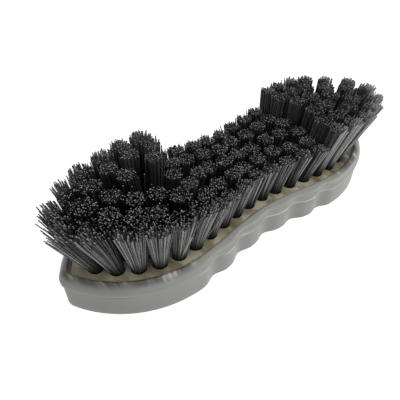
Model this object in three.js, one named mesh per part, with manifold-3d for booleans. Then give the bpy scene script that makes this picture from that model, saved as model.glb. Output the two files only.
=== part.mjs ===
// Hand scrub brush lying on its back: a grey grip, a tan tuft board inside it and black bristles.
// Millimetres. +Z runs up to the bristle tips, +X along the brush, and the origin is the middle of
// the flat back.
import * as THREE from "three";
import { mergeGeometries, mergeVertices } from "three/addons/utils/BufferGeometryUtils.js";
import Module from "manifold-3d";

// Outline of the grip at its widest level: two pointed lobes joined by a narrower waist
const LENGTH = 200;
const LOBE_WIDTH = 65.8;
const WAIST_WIDTH = 55.4;
const LOBE_OFFSET = 49; // from the middle to the widest place of a lobe
const TIP_RADIUS = 7;
const LEAST_TIP_RADIUS = 1; // of an outline that lies further in

// Grip wall, from the flat back up to the parting line and over the rounded rim
const BACK_INSET = 0.7; // the wall leans in by this much from the widest level to the back
const BACK_EDGE_RADIUS = 1.4;
const SEAM_HEIGHT = 13;
const SEAM_ANGLE = 30; // degrees below its widest place at which the rim meets the lower wall
const RIM_ROUNDING = 6; // half width of the ellipse that the rim's shoulder follows
const RIM_END_ANGLE = 68; // degrees at which the shoulder ends in the rim's inner edge
const RIM_WIDTH = 5.5; // at the face of the board

// Finger scallops in the waist below the rim
const SCALLOP_RIDGES = 4;
const SCALLOP_PITCH = 18.9;
const SCALLOP_DEPTH = 2.2;
const SCALLOP_SHARPNESS = 1.4; // above 1 the ridges are broader than the grooves

// Stack inside the grip, from the back upwards
const BACK_THICKNESS = 5;
const CORE_HEIGHT = 9.8;
const PLATE_THICKNESS = 1.1;
const FACE_SLICE = 2; // top layer of the board, which carries the tufts
const FACE_RECESS = 1.75; // from the top of the rim down to the face of the board
const CORE_INSET = 7.5; // side of the board's core, in from the widest level
const CLEARANCE = 0.3;

// Tongue round the core that snaps into a groove of the grip
const TONGUE_HEIGHT = 2.4;
const TONGUE_REACH = 1.2;
const TONGUE_LIFT = 1.2; // above the bottom of the board

// Tuft pattern: two rows that follow the rim, and a middle row that opens into two in the lobes
const RIM_MARGIN = 6.4; // from the rim's inner edge to the outermost row
const ROW_PITCH = 7.9;
const TUFT_PITCH = 9.3;
const TALL_START = 40;

// Tufts: four strands each, on a folded root held in its hole by a flat staple
const TALL_LENGTH = 29.5;
const SHORT_LENGTH = 20.5;
const FAN_ALONG = 240; // depth below the face at which the tufts' lines would meet, along the brush
const FAN_ACROSS = 100; // and across it
const STRANDS_PER_TUFT = 4;
const STRAND_SIDES = 3;
const STRAND_ROOT_RADIUS = 0.95;
const STRAND_TIP_RADIUS = 1.85;
const TUFT_ROOT_SPREAD = 1.45; // from a tuft's middle to a strand's middle
const TUFT_TIP_SPREAD = 2.7;
const ROOT_RADIUS = 2.5;
const HOLE_FLOOR = 1.2; // board left below a hole
const STAPLE_HEIGHT = 1.5;
const STAPLE_THICKNESS = 0.6;
const FUSE_DEPTH = 0.5; // how far joined shapes run into each other

// Facets
const WAIST_STEPS = 15;
const FLANK_STEPS = 7;
const TIP_STEPS = 2;
const BACK_EDGE_ANGLES = [-90, -45, 0]; // degrees round each section
const RIM_STEPS = 6;
const ROOT_SIDES = 4;
const HOLE_SIDES = 6;

// Levels
const BOARD_BOTTOM = BACK_THICKNESS + CLEARANCE;
const LEDGE = BACK_THICKNESS + CORE_HEIGHT;
const BOARD_TOP = LEDGE + CLEARANCE + PLATE_THICKNESS;
const SLICE_BOTTOM = BOARD_TOP + CLEARANCE;
const FACE = SLICE_BOTTOM + FACE_SLICE;
const RIM_TOP = FACE + FACE_RECESS;
const HOLE_BOTTOM = BOARD_BOTTOM + HOLE_FLOOR;

// Each flank of a lobe is one arc that runs into the tip's own small arc
const LOBE_HALF = LOBE_WIDTH / 2;
const FLANK_RUN = LENGTH / 2 - TIP_RADIUS - LOBE_OFFSET;
const FLANK_RADIUS = (FLANK_RUN ** 2 + LOBE_HALF ** 2 - TIP_RADIUS ** 2) / (2 * (LOBE_HALF - TIP_RADIUS));
const FLANK_RISE = FLANK_RADIUS - LOBE_HALF; // its middle lies this far across the brush's axis

const wasm = await Module();
wasm.setup();

function toSolid(geometry) {
  const bare = geometry.clone();
  bare.deleteAttribute("normal");
  bare.deleteAttribute("uv");
  const merged = mergeVertices(bare, 1e-4);
  return new wasm.Manifold(
    new wasm.Mesh({
      numProp: 3,
      vertProperties: new Float32Array(merged.attributes.position.array),
      triVerts: new Uint32Array(merged.index.array),
    }),
  );
}

function toGeometry(solid) {
  const mesh = solid.getMesh();
  const geometry = new THREE.BufferGeometry();
  geometry.setAttribute("position", new THREE.BufferAttribute(mesh.vertProperties, 3));
  geometry.setIndex(new THREE.BufferAttribute(mesh.triVerts, 1));
  geometry.computeVertexNormals();
  return geometry;
}

// Half width at x of the outline that lies inset from the widest one, or 0 past its tip
function halfWidth(x, inset) {
  const past = Math.abs(x) - LOBE_OFFSET;
  if (past > 0) {
    const across = Math.sqrt(Math.max(0, (FLANK_RADIUS - inset) ** 2 - past ** 2));
    return Math.max(0, across - FLANK_RISE);
  }
  const swell = (1 - Math.cos((Math.PI * x) / LOBE_OFFSET)) / 2;
  return WAIST_WIDTH / 2 + ((LOBE_WIDTH - WAIST_WIDTH) / 2) * swell - inset;
}

// Depth of the finger scallops at x: grooves with rounded ridges between them
function scallopDepth(x) {
  const reach = ((SCALLOP_RIDGES + 1) / 2) * SCALLOP_PITCH;
  const groove = (1 + Math.cos((2 * Math.PI * x) / SCALLOP_PITCH)) / 2;
  return Math.abs(x) < reach ? SCALLOP_DEPTH * groove ** SCALLOP_SHARPNESS : 0;
}

// The waist's front edge from its middle to a lobe's widest place, cut by a share of the scallops
function waistPoints(inset, share) {
  const swing = ((LOBE_WIDTH - WAIST_WIDTH) / 4) * (Math.PI / LOBE_OFFSET);
  return Array.from({ length: WAIST_STEPS + 1 }, (_, i) => {
    const x = (LOBE_OFFSET * i) / WAIST_STEPS;
    const slope = swing * Math.sin((Math.PI * x) / LOBE_OFFSET);
    const inward = new THREE.Vector2(slope, 1).normalize();
    const edge = new THREE.Vector2(x, -halfWidth(x, 0));
    return edge.addScaledVector(inward, inset + scallopDepth(x) * share);
  });
}

// A lobe's front edge from past its widest place to its tip
function lobePoints(inset) {
  const flank = FLANK_RADIUS - inset;
  const tip = Math.max(TIP_RADIUS - inset, LEAST_TIP_RADIUS);
  const run = Math.sqrt((flank - tip) ** 2 - FLANK_RISE ** 2);
  const turn = Math.atan2(run, FLANK_RISE);
  const points = [];
  for (let i = 1; i <= FLANK_STEPS; i++) {
    const angle = (turn * i) / FLANK_STEPS;
    const y = FLANK_RISE - flank * Math.cos(angle);
    points.push(new THREE.Vector2(LOBE_OFFSET + flank * Math.sin(angle), y));
  }
  for (let i = 1; i < TIP_STEPS; i++) {
    const angle = THREE.MathUtils.lerp(turn, Math.PI / 2, i / TIP_STEPS);
    const x = LOBE_OFFSET + run + tip * Math.sin(angle);
    points.push(new THREE.Vector2(x, -tip * Math.cos(angle)));
  }
  points.push(new THREE.Vector2(LOBE_OFFSET + run + tip, 0));
  return points;
}

function quarterPoints(inset, share = 0) {
  return [...waistPoints(inset, share), ...lobePoints(inset)];
}

// A whole outline: its front from the -X tip to the +X tip, then its back, mirrored from the front
function outlinePoints(inset, share) {
  const right = quarterPoints(inset, share);
  const left = right.slice(1).map(({ x, y }) => new THREE.Vector2(-x, y));
  const front = [...left.reverse(), ...right];
  const back = front.slice(1, -1).map(({ x, y }) => new THREE.Vector2(x, -y));
  return [...front, ...back.reverse()];
}

// Carries a section, a list of [inset, z, share of the scallops], round the outline and closes its
// first and last ring with flat caps.
function sweep(section) {
  const rings = section.map(([inset, , share]) => outlinePoints(inset, share));
  const count = rings[0].length;
  const half = count / 2;
  const positions = rings.flatMap((ring, i) => ring.flatMap(({ x, y }) => [x, y, section[i][1]]));
  const index = [];
  const quad = (a, b, c, d) => index.push(a, b, c, a, c, d);
  for (let ring = 0; ring + 1 < section.length; ring++) {
    const low = ring * count;
    const high = low + count;
    for (let i = 0; i < count; i++) {
      const next = (i + 1) % count;
      quad(low + i, low + next, high + next, high + i);
    }
  }
  const cap = (ring, up) => {
    const at = (i) => ring * count + ((i + count) % count);
    const corner = (a, b, c) => (up ? index.push(a, b, c) : index.push(a, c, b));
    corner(at(0), at(1), at(-1));
    for (let i = 1; i < half - 1; i++) {
      corner(at(i), at(i + 1), at(-i - 1));
      corner(at(i), at(-i - 1), at(-i));
    }
    corner(at(half - 1), at(half), at(half + 1));
  };
  cap(0, false);
  cap(section.length - 1, true);
  const geometry = new THREE.BufferGeometry();
  geometry.setAttribute("position", new THREE.Float32BufferAttribute(positions, 3));
  geometry.setIndex(index);
  geometry.computeVertexNormals();
  return geometry;
}

// Grip: outer wall and rim, then down the pocket that the board fills
function gripGeometry() {
  const section = [];
  for (const degrees of BACK_EDGE_ANGLES) {
    const angle = THREE.MathUtils.degToRad(degrees);
    const inset = BACK_INSET + BACK_EDGE_RADIUS * (1 - Math.cos(angle));
    section.push([inset, BACK_EDGE_RADIUS * (1 + Math.sin(angle)), 1]);
  }
  const rimStart = THREE.MathUtils.degToRad(-SEAM_ANGLE);
  const rimEnd = THREE.MathUtils.degToRad(RIM_END_ANGLE);
  for (let i = 0; i <= RIM_STEPS; i++) {
    const angle = THREE.MathUtils.lerp(rimStart, rimEnd, i / RIM_STEPS);
    const inset = RIM_ROUNDING * (1 - Math.cos(angle));
    const rise = THREE.MathUtils.inverseLerp(Math.sin(rimStart), Math.sin(rimEnd), Math.sin(angle));
    section.push([inset, THREE.MathUtils.lerp(SEAM_HEIGHT, RIM_TOP, rise), 1 - rise]);
  }
  const grooveBottom = BOARD_BOTTOM + TONGUE_LIFT - CLEARANCE;
  const grooveTop = BOARD_BOTTOM + TONGUE_LIFT + TONGUE_HEIGHT + CLEARANCE;
  section.push(
    [RIM_WIDTH, FACE],
    [RIM_WIDTH, LEDGE],
    [CORE_INSET, LEDGE],
    [CORE_INSET, grooveTop],
    [CORE_INSET - TONGUE_REACH, grooveTop],
    [CORE_INSET - TONGUE_REACH, grooveBottom],
    [CORE_INSET, grooveBottom],
    [CORE_INSET, BACK_THICKNESS],
  );
  return sweep(section);
}

// A prism with flat sides round a vertical axis at each tuft, from one level to another
function prismsAt(tufts, radius, sides, bottom, top) {
  return mergeGeometries(
    tufts.map(({ base }) => {
      const prism = new THREE.CylinderGeometry(radius, radius, top - bottom, sides);
      prism.rotateX(Math.PI / 2);
      return prism.translate(base.x, base.y, (bottom + top) / 2);
    }),
  );
}

// Tuft board: core with its tongue, plate above it, and a blind hole for every tuft
function boardGeometry(tufts) {
  const core = CORE_INSET + CLEARANCE;
  const plate = RIM_WIDTH + CLEARANCE;
  const tongueBottom = BOARD_BOTTOM + TONGUE_LIFT;
  const tongueTop = tongueBottom + TONGUE_HEIGHT;
  const body = sweep([
    [core, BOARD_BOTTOM],
    [core, tongueBottom],
    [core - TONGUE_REACH, tongueBottom],
    [core - TONGUE_REACH, tongueTop],
    [core, tongueTop],
    [core, LEDGE + CLEARANCE],
    [plate, LEDGE + CLEARANCE],
    [plate, BOARD_TOP],
  ]);
  const holeRadius = (ROOT_RADIUS + CLEARANCE) / Math.cos(Math.PI / HOLE_SIDES);
  const holes = prismsAt(tufts, holeRadius, HOLE_SIDES, HOLE_BOTTOM, BOARD_TOP + FUSE_DEPTH);
  return toGeometry(toSolid(body).subtract(toSolid(holes)));
}

// Copies a place in the +X, -Y quarter to the other quarters
function mirrorPlaces({ x, y }) {
  const along = x === 0 ? [x] : [x, -x];
  const across = y === 0 ? [y] : [y, -y];
  return along.flatMap((px) => across.map((py) => new THREE.Vector2(px, py)));
}

// A row that keeps one distance from the rim, in even steps, with one tuft or a pair at each tip
function rimRow(inset, tipTuft) {
  const path = new THREE.SplineCurve(quarterPoints(inset));
  const halfStep = tipTuft ? 0.5 : 0;
  const steps = Math.round(path.getLength() / TUFT_PITCH - halfStep) + halfStep;
  const places = [];
  for (let step = 0.5; step <= steps; step++) places.push(path.getPointAt(step / steps));
  if (tipTuft) places.at(-1).setY(0);
  return places.flatMap(mirrorPlaces);
}

// The middle row: single in the waist, and a pair wherever a lobe leaves room for two
function middleRow(inset) {
  const lastPlace = lobePoints(inset - ROW_PITCH).at(-1).x - TUFT_PITCH;
  const roomForTwo = 0.45 * ROW_PITCH;
  const places = [];
  for (let x = 0; x < lastPlace; x += TUFT_PITCH) {
    const half = halfWidth(x, inset);
    places.push(new THREE.Vector2(x, half > roomForTwo ? -half : 0));
  }
  return places.flatMap(mirrorPlaces);
}

function tuftRows() {
  const outer = RIM_WIDTH + RIM_MARGIN;
  const second = outer + ROW_PITCH;
  const rows = [rimRow(outer, false), rimRow(second, true), middleRow(second + ROW_PITCH)];
  return rows.map((row) =>
    row.map((base) => ({
      base,
      tall: Math.abs(base.x) > TALL_START,
      length: Math.abs(base.x) > TALL_START ? TALL_LENGTH : SHORT_LENGTH,
    })),
  );
}

// One strand: a straight prism that widens from the face of the board to its cut tip
function strandGeometry({ base, length }, turn) {
  const direction = new THREE.Vector2(Math.cos(turn), Math.sin(turn));
  const positions = [];
  for (const height of [-FUSE_DEPTH, length]) {
    const share = height / length;
    const spread = THREE.MathUtils.lerp(TUFT_ROOT_SPREAD, TUFT_TIP_SPREAD, share);
    const radius = THREE.MathUtils.lerp(STRAND_ROOT_RADIUS, STRAND_TIP_RADIUS, share);
    const middle = new THREE.Vector2(
      base.x * (1 + height / FAN_ALONG),
      base.y * (1 + height / FAN_ACROSS),
    ).addScaledVector(direction, spread);
    for (let i = 0; i < STRAND_SIDES; i++) {
      const angle = turn + (2 * Math.PI * i) / STRAND_SIDES;
      const corner = [middle.x + radius * Math.cos(angle), middle.y + radius * Math.sin(angle)];
      positions.push(...corner, FACE + height);
    }
  }
  const index = [];
  for (let i = 0; i < STRAND_SIDES; i++) {
    const next = (i + 1) % STRAND_SIDES;
    index.push(i, next, STRAND_SIDES + next, i, STRAND_SIDES + next, STRAND_SIDES + i);
  }
  for (let i = 1; i + 1 < STRAND_SIDES; i++) {
    index.push(0, i + 1, i, STRAND_SIDES, STRAND_SIDES + i, STRAND_SIDES + i + 1);
  }
  const geometry = new THREE.BufferGeometry();
  geometry.setAttribute("position", new THREE.Float32BufferAttribute(positions, 3));
  geometry.setIndex(index);
  return geometry;
}

function strandsOf(tufts) {
  const firstTurn = Math.PI / STRANDS_PER_TUFT;
  const strands = tufts.flatMap((tuft) =>
    Array.from({ length: STRANDS_PER_TUFT }, (_, i) =>
      strandGeometry(tuft, firstTurn + (2 * Math.PI * i) / STRANDS_PER_TUFT),
    ),
  );
  return toSolid(mergeGeometries(strands));
}

// Folded roots that fill the holes, each with its flat staple across the bottom
function rootsOf(tufts) {
  const stapleBottom = HOLE_BOTTOM + CLEARANCE;
  const rootBottom = stapleBottom + STAPLE_HEIGHT;
  const roots = prismsAt(tufts, ROOT_RADIUS, ROOT_SIDES, rootBottom, SLICE_BOTTOM + FUSE_DEPTH);
  const staples = mergeGeometries(
    tufts.map(({ base }) => {
      const height = STAPLE_HEIGHT + FUSE_DEPTH;
      const width = 2 * (ROOT_RADIUS - STAPLE_THICKNESS);
      const staple = new THREE.BoxGeometry(width, STAPLE_THICKNESS, height);
      return staple.translate(base.x, base.y, stapleBottom + height / 2);
    }),
  );
  return toSolid(roots).add(toSolid(staples));
}

// The line between the waist's short tufts and the tall ones, half way between the two in each row,
// as [x, y] from the rim inwards
function zoneBoundary(rows) {
  return rows.map((row) => {
    const inQuarter = row.filter(({ base }) => base.x >= 0 && base.y <= 0);
    const byX = inQuarter.toSorted((a, b) => a.base.x - b.base.x);
    const first = byX.findIndex(({ tall }) => tall);
    return byX[first - 1].base.clone().lerp(byX[first].base, 0.5);
  });
}

// An upright prism over the part of the face between two x limits, given for each row
function zonePrism(boundary, lower, upper) {
  const wide = LOBE_WIDTH;
  const line = (limit) => {
    const front = boundary.map((place) => new THREE.Vector2(limit(place), place.y));
    const back = front.map(({ x, y }) => new THREE.Vector2(x, -y)).reverse();
    const start = new THREE.Vector2(front[0].x, -wide);
    const end = new THREE.Vector2(front[0].x, wide);
    return [start, ...front, ...back, end];
  };
  const outline = [...line(upper), ...line(lower).reverse()];
  const depth = FACE_SLICE + 2 * FUSE_DEPTH;
  const prism = new THREE.ExtrudeGeometry(new THREE.Shape(outline), { depth, bevelEnabled: false });
  return toSolid(prism.translate(0, 0, SLICE_BOTTOM - FUSE_DEPTH));
}

// Tufts of one zone, fused to their slice of the board's face
function bristleGeometry(tufts, zone) {
  const plate = RIM_WIDTH + CLEARANCE;
  const slice = toSolid(sweep([[plate, SLICE_BOTTOM], [plate, FACE]])).intersect(zone);
  return toGeometry(slice.add(strandsOf(tufts)).add(rootsOf(tufts)));
}

function plastic(color, roughness) {
  return new THREE.MeshStandardMaterial({ color, roughness, metalness: 0 });
}

function named(name, geometry, material) {
  const mesh = new THREE.Mesh(geometry, material);
  mesh.name = name;
  return mesh;
}

function scrubBrush() {
  const rows = tuftRows();
  const tufts = rows.flat();
  const boundary = zoneBoundary(rows);
  const past = (place) => place.x + CLEARANCE / 2;
  const short = (place) => place.x - CLEARANCE / 2;
  const outside = () => LENGTH;
  const zones = [
    ["near_lobe_bristles", (tuft) => tuft.tall && tuft.base.x < 0, (p) => -outside(p), (p) => -past(p)],
    ["waist_bristles", (tuft) => !tuft.tall, (p) => -short(p), short],
    ["far_lobe_bristles", (tuft) => tuft.tall && tuft.base.x > 0, past, outside],
  ];
  const brush = new THREE.Group();
  brush.add(named("grip", gripGeometry(), plastic(0x979894, 0.45)));
  brush.add(named("tuft_board", boardGeometry(tufts), plastic(0xb49c76, 0.5)));
  const filament = plastic(0x1b1b1d, 0.4);
  for (const [name, belongs, lower, upper] of zones) {
    const zone = zonePrism(boundary, lower, upper);
    brush.add(named(name, bristleGeometry(tufts.filter(belongs), zone), filament));
  }
  return brush;
}

export default scrubBrush();
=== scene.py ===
"""Looks of a hand scrub brush lying on its back: a grey grip, a tan tuft board and black tufts.

Metres throughout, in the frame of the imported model: +X runs along the brush, +Y across it and
+Z up from the flat back to the bristle tips.
"""

import logging
import math
from collections.abc import Iterable, Iterator, Sequence
from dataclasses import dataclass, field
from enum import Enum
from itertools import pairwise, product
from typing import Self

import bmesh
import bpy
import numpy as np
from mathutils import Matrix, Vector, kdtree


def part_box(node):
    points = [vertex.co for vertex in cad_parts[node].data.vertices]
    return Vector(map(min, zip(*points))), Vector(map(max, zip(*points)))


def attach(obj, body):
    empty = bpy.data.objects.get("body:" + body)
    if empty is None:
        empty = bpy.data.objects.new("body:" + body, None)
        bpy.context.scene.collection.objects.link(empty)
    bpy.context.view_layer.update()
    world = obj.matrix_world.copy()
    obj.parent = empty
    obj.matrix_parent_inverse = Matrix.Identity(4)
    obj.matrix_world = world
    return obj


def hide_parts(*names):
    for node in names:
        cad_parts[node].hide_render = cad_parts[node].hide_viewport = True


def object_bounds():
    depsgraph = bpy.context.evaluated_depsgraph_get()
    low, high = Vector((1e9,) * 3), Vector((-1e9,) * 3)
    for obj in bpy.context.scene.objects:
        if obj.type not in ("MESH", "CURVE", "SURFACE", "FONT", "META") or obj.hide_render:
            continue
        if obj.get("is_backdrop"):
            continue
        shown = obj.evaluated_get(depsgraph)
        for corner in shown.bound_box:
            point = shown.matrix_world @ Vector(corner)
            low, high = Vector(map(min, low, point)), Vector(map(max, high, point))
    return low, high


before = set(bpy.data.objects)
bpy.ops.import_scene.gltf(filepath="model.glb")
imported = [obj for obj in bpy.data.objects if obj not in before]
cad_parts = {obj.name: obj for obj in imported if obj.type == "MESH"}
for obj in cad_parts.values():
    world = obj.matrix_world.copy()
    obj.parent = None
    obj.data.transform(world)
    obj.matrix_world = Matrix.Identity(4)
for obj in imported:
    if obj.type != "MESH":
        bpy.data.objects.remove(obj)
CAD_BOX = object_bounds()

Pair = tuple[float, float]
Triple = tuple[float, float, float]
Color = tuple[float, float, float]
Inputs = dict[str | int, object]
Piece = bpy.types.Object

LOG = logging.getLogger("scrub_brush")
BODY = "root"
MM = 0.001
GOLDEN_ANGLE = math.pi * (3 - math.sqrt(5))
MOULDED_CREASE = 40.0
STRAND_CREASE = 75.0
NOISE_MEAN = 0.5
SEEN_RAYS = ("Is Camera Ray", "Is Glossy Ray", "Is Transmission Ray")
WHOLE: Pair = (0.0, 1.0)
BLACK: Color = (0.0, 0.0, 0.0)
WHITE: Color = (1.0, 1.0, 1.0)


class Zone(Enum):
    """Stretch of the brush that a group of tufts stands on, by the node that the group replaces."""

    NEAR_LOBE = "near_lobe_bristles"
    WAIST = "waist_bristles"
    FAR_LOBE = "far_lobe_bristles"


class Slot(Enum):
    """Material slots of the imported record."""

    GRIP = "grip"
    BOARD = "board"
    FILAMENT = "filament"


@dataclass(frozen=True)
class Level:
    """One ring of a section: how far it lies in from the widest outline, and how high.

    The share says how much of the finger scallops the ring follows, from 0 to 1.
    """

    inset: float
    z: float
    share: float = 0.0


@dataclass(frozen=True)
class Outline:
    """Plan of the brush at its widest level: two pointed lobes joined by a narrower waist."""

    half_length: float
    lobe_half: float
    waist_half: float = 27.7 * MM
    lobe_offset: float = 49 * MM
    tip_radius: float = 7 * MM
    least_tip_radius: float = 1 * MM
    scallop_ridges: int = 4
    scallop_pitch: float = 18.9 * MM
    scallop_depth: float = 2.2 * MM
    scallop_sharpness: float = 1.4
    waist_steps: int = 60
    flank_steps: int = 22
    tip_steps: int = 6

    @property
    def flank_radius(self) -> float:
        """Radius of the arc from a lobe's widest place to the small arc of its tip."""
        run = self.half_length - self.tip_radius - self.lobe_offset
        chord = run**2 + self.lobe_half**2 - self.tip_radius**2
        return chord / (2 * (self.lobe_half - self.tip_radius))

    @property
    def flank_rise(self) -> float:
        """How far a flank's centre lies across the middle line."""
        return self.flank_radius - self.lobe_half

    def half_width(self, x: float, inset: float) -> float:
        """Half width of an inset outline.

        Args:
            x: place along the brush.
            inset: distance in from the widest outline.

        Returns:
            The half width there, or 0 past the outline's tip.
        """
        past = abs(x) - self.lobe_offset
        if past > 0:
            across = math.sqrt(max(0.0, (self.flank_radius - inset) ** 2 - past**2))
            return max(0.0, across - self.flank_rise)
        swell = (1 - math.cos(math.pi * x / self.lobe_offset)) / 2
        return self.waist_half + (self.lobe_half - self.waist_half) * swell - inset

    def scallop(self, x: float) -> float:
        """Depth of the finger scallops at a place along the brush, 0 past the last ridge."""
        held = abs(x) < (self.scallop_ridges + 1) / 2 * self.scallop_pitch
        groove = (1 + math.cos(2 * math.pi * x / self.scallop_pitch)) / 2
        return self.scallop_depth * groove**self.scallop_sharpness * held

    def waist_edge(self, inset: float, share: float) -> Iterator[Pair]:
        """Front edge from the middle of the waist to a lobe's widest place.

        Args:
            inset: distance in from the widest outline.
            share: share of the finger scallops to cut.

        Yields:
            Places (x, y) along the edge.
        """
        swing = (self.lobe_half - self.waist_half) / 2 * math.pi / self.lobe_offset
        for x in np.linspace(0, self.lobe_offset, self.waist_steps + 1):
            inward = Vector((swing * math.sin(math.pi * x / self.lobe_offset), 1)).normalized()
            depth = inset + self.scallop(x) * share
            yield x + inward.x * depth, inward.y * depth - self.half_width(x, 0)

    def lobe_edge(self, inset: float) -> Iterator[Pair]:
        """Front edge from past a lobe's widest place to its tip.

        Args:
            inset: distance in from the widest outline.

        Yields:
            Places (x, y) along the edge.
        """
        rise = self.flank_rise
        flank = self.flank_radius - inset
        tip = max(self.tip_radius - inset, self.least_tip_radius)
        run = math.sqrt((flank - tip) ** 2 - rise**2)
        turn = math.atan2(run, rise)
        for angle in np.linspace(0, turn, self.flank_steps + 1)[1:]:
            yield self.lobe_offset + flank * math.sin(angle), rise - flank * math.cos(angle)
        for angle in np.linspace(turn, math.pi / 2, self.tip_steps + 1)[1:-1]:
            yield self.lobe_offset + run + tip * math.sin(angle), -tip * math.cos(angle)
        yield self.lobe_offset + run + tip, 0.0

    def quarter(self, inset: float, share: float = 0.0) -> np.ndarray:
        """Edge of the +X, -Y quarter, from the middle of the waist to the tip, as rows (x, y)."""
        return np.array([*self.waist_edge(inset, share), *self.lobe_edge(inset)])

    def ring(self, level: Level) -> np.ndarray:
        """Whole outline at a level, from one tip along the front to the other tip and back.

        Args:
            level: the level's inset, height and share of the scallops.

        Returns:
            Rows of (x, y, z).
        """
        right = self.quarter(level.inset, level.share)
        front = np.vstack([right[:0:-1] * (-1, 1), right])
        plan = np.vstack([front, front[-2:0:-1] * (1, -1)])
        return np.column_stack([plan, np.full(len(plan), level.z)])


def arc(start: float, end: float, steps: int) -> np.ndarray:
    """Angles in radians from one angle in degrees to another, both included."""
    return np.radians(np.linspace(start, end, steps + 1))


def ramp(value: float, limits: Pair) -> float:
    """Share from 0 at the first limit to 1 at the second, and no further."""
    return min(1.0, max(0.0, (value - limits[0]) / (limits[1] - limits[0])))


def mirrored(places: Iterable[Pair]) -> list[Pair]:
    """Places of one quarter with their mirror images in the others, and none of them twice."""
    signs = tuple(product((1, -1), repeat=2))
    return list(dict.fromkeys((x * sx, y * sy) for x, y in places for sx, sy in signs))


def finder_of(places: Iterable[Sequence[float]]) -> kdtree.KDTree:
    """Makes a search that gives the number of the nearest of some places.

    Args:
        places: rows of (x, y, z).

    Returns:
        The search.
    """
    listed = list(places)
    finder = kdtree.KDTree(len(listed))
    for index, place in enumerate(listed):
        finder.insert(place, index)
    finder.balance()
    return finder


def deselect_all() -> None:
    """Leaves nothing selected, so that the next operator acts on its own piece alone."""
    bpy.ops.object.select_all(action="DESELECT")


def pick(piece: Piece) -> None:
    """Makes a piece the only selected object, and the active one."""
    deselect_all()
    piece.select_set(True)
    bpy.context.view_layer.objects.active = piece


def delete(piece: Piece) -> None:
    """Removes a piece that only helped to model another."""
    pick(piece)
    bpy.ops.object.delete()


def smooth(piece: Piece, crease: float) -> None:
    """Shades a piece smooth, apart from edges sharper than an angle in degrees."""
    pick(piece)
    bpy.ops.object.shade_smooth_by_angle(angle=math.radians(crease))


def mark(mesh: bpy.types.Mesh, name: str, domain: str, values: np.ndarray) -> None:
    """Stores a number for each point or face of a mesh, under a name that materials read."""
    mesh.attributes.new(name, "FLOAT", domain).data.foreach_set("value", values)


def add_disc(sides: int, radius: float = 1.0) -> Piece:
    """Adds a filled circle and returns it as the only selected piece."""
    deselect_all()
    bpy.ops.mesh.primitive_circle_add(vertices=sides, radius=radius, fill_type="NGON")
    return bpy.context.active_object


def close_shape() -> None:
    """Points the faces of the piece in edit mode outwards, and leaves edit mode."""
    bpy.ops.mesh.select_all(action="SELECT")
    bpy.ops.mesh.normals_make_consistent(inside=False)
    bpy.ops.object.mode_set(mode="OBJECT")


def extrude_levels(name: str, outline: Outline, levels: Sequence[Level]) -> Piece:
    """Models a closed solid by extruding the outline from level to level.

    Args:
        name: name of the new piece.
        outline: plan that every level follows.
        levels: section of the solid, from the face that closes it below to the one above.

    Returns:
        The new piece.
    """
    rings = [outline.ring(level) for level in levels]
    piece = add_disc(len(rings[0]))
    piece.name = name
    piece.data.name = name
    for vertex, place in zip(piece.data.vertices, rings[0]):
        vertex.co = place
    bpy.ops.object.mode_set(mode="EDIT")
    bpy.ops.mesh.select_mode(type="FACE")
    bpy.ops.mesh.select_all(action="SELECT")
    for lower, upper in pairwise(rings):
        bpy.ops.mesh.extrude_region_move()
        finder = finder_of(lower)
        shape = bmesh.from_edit_mesh(piece.data)
        for vertex in shape.verts:
            if vertex.select:
                vertex.co = upper[finder.find(vertex.co)[1]]
        bmesh.update_edit_mesh(piece.data)
    close_shape()
    return piece


@dataclass(frozen=True)
class Stack:
    """Heights inside the brush, from the flat back upwards."""

    back: float = 5 * MM
    core: float = 9.8 * MM
    plate: float = 1.1 * MM
    face_slice: float = 2 * MM
    face_recess: float = 1.75 * MM
    clearance: float = 0.3 * MM

    @property
    def ledge(self) -> float:
        """Level in the grip that the board's plate rests on."""
        return self.back + self.core

    @property
    def board_bottom(self) -> float:
        """Underside of the board's core."""
        return self.back + self.clearance

    @property
    def face(self) -> float:
        """Face of the board, where the tufts come out."""
        return self.ledge + 2 * self.clearance + self.plate + self.face_slice

    @property
    def rim_top(self) -> float:
        """Top of the grip's rim."""
        return self.face + self.face_recess


@dataclass(frozen=True)
class NodeValue:
    """A shader socket that takes part in Python arithmetic, one Math node for each operator."""

    bench: "NodeBench"
    socket: bpy.types.NodeSocket

    def _math(self, operation: str, first: object, second: object, clamp: bool = False) -> Self:
        """Adds the Math node of one operator and returns its result."""
        settings = {"operation": operation, "use_clamp": clamp}
        return self.bench.node("ShaderNodeMath", "Value", {0: first, 1: second}, **settings)

    def __add__(self, other: object) -> Self:
        """Sum of this value and another."""
        return self._math("ADD", self, other)

    __radd__ = __add__

    def __sub__(self, other: object) -> Self:
        """This value less another."""
        return self._math("SUBTRACT", self, other)

    def __rsub__(self, other: object) -> Self:
        """A number less this value."""
        return self._math("SUBTRACT", other, self)

    def __mul__(self, other: object) -> Self:
        """Product of this value and another."""
        return self._math("MULTIPLY", self, other)

    __rmul__ = __mul__

    def clamped(self) -> Self:
        """This value kept between 0 and 1."""
        return self._math("ADD", self, 0.0, clamp=True)

    def between(self, limits: Pair) -> Self:
        """Smooth step of this value, 0 at the first limit and 1 at the second."""
        inputs = {"Value": self, "From Min": limits[0], "From Max": limits[1]}
        settings = {"interpolation_type": "SMOOTHSTEP"}
        return self.bench.node("ShaderNodeMapRange", "Result", inputs, **settings)


@dataclass(frozen=True)
class Pattern:
    """A noise: the size of its patches, its octaves of detail and its squeeze on each axis."""

    size: float
    detail: float = 2.0
    squeeze: Triple | None = None


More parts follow.
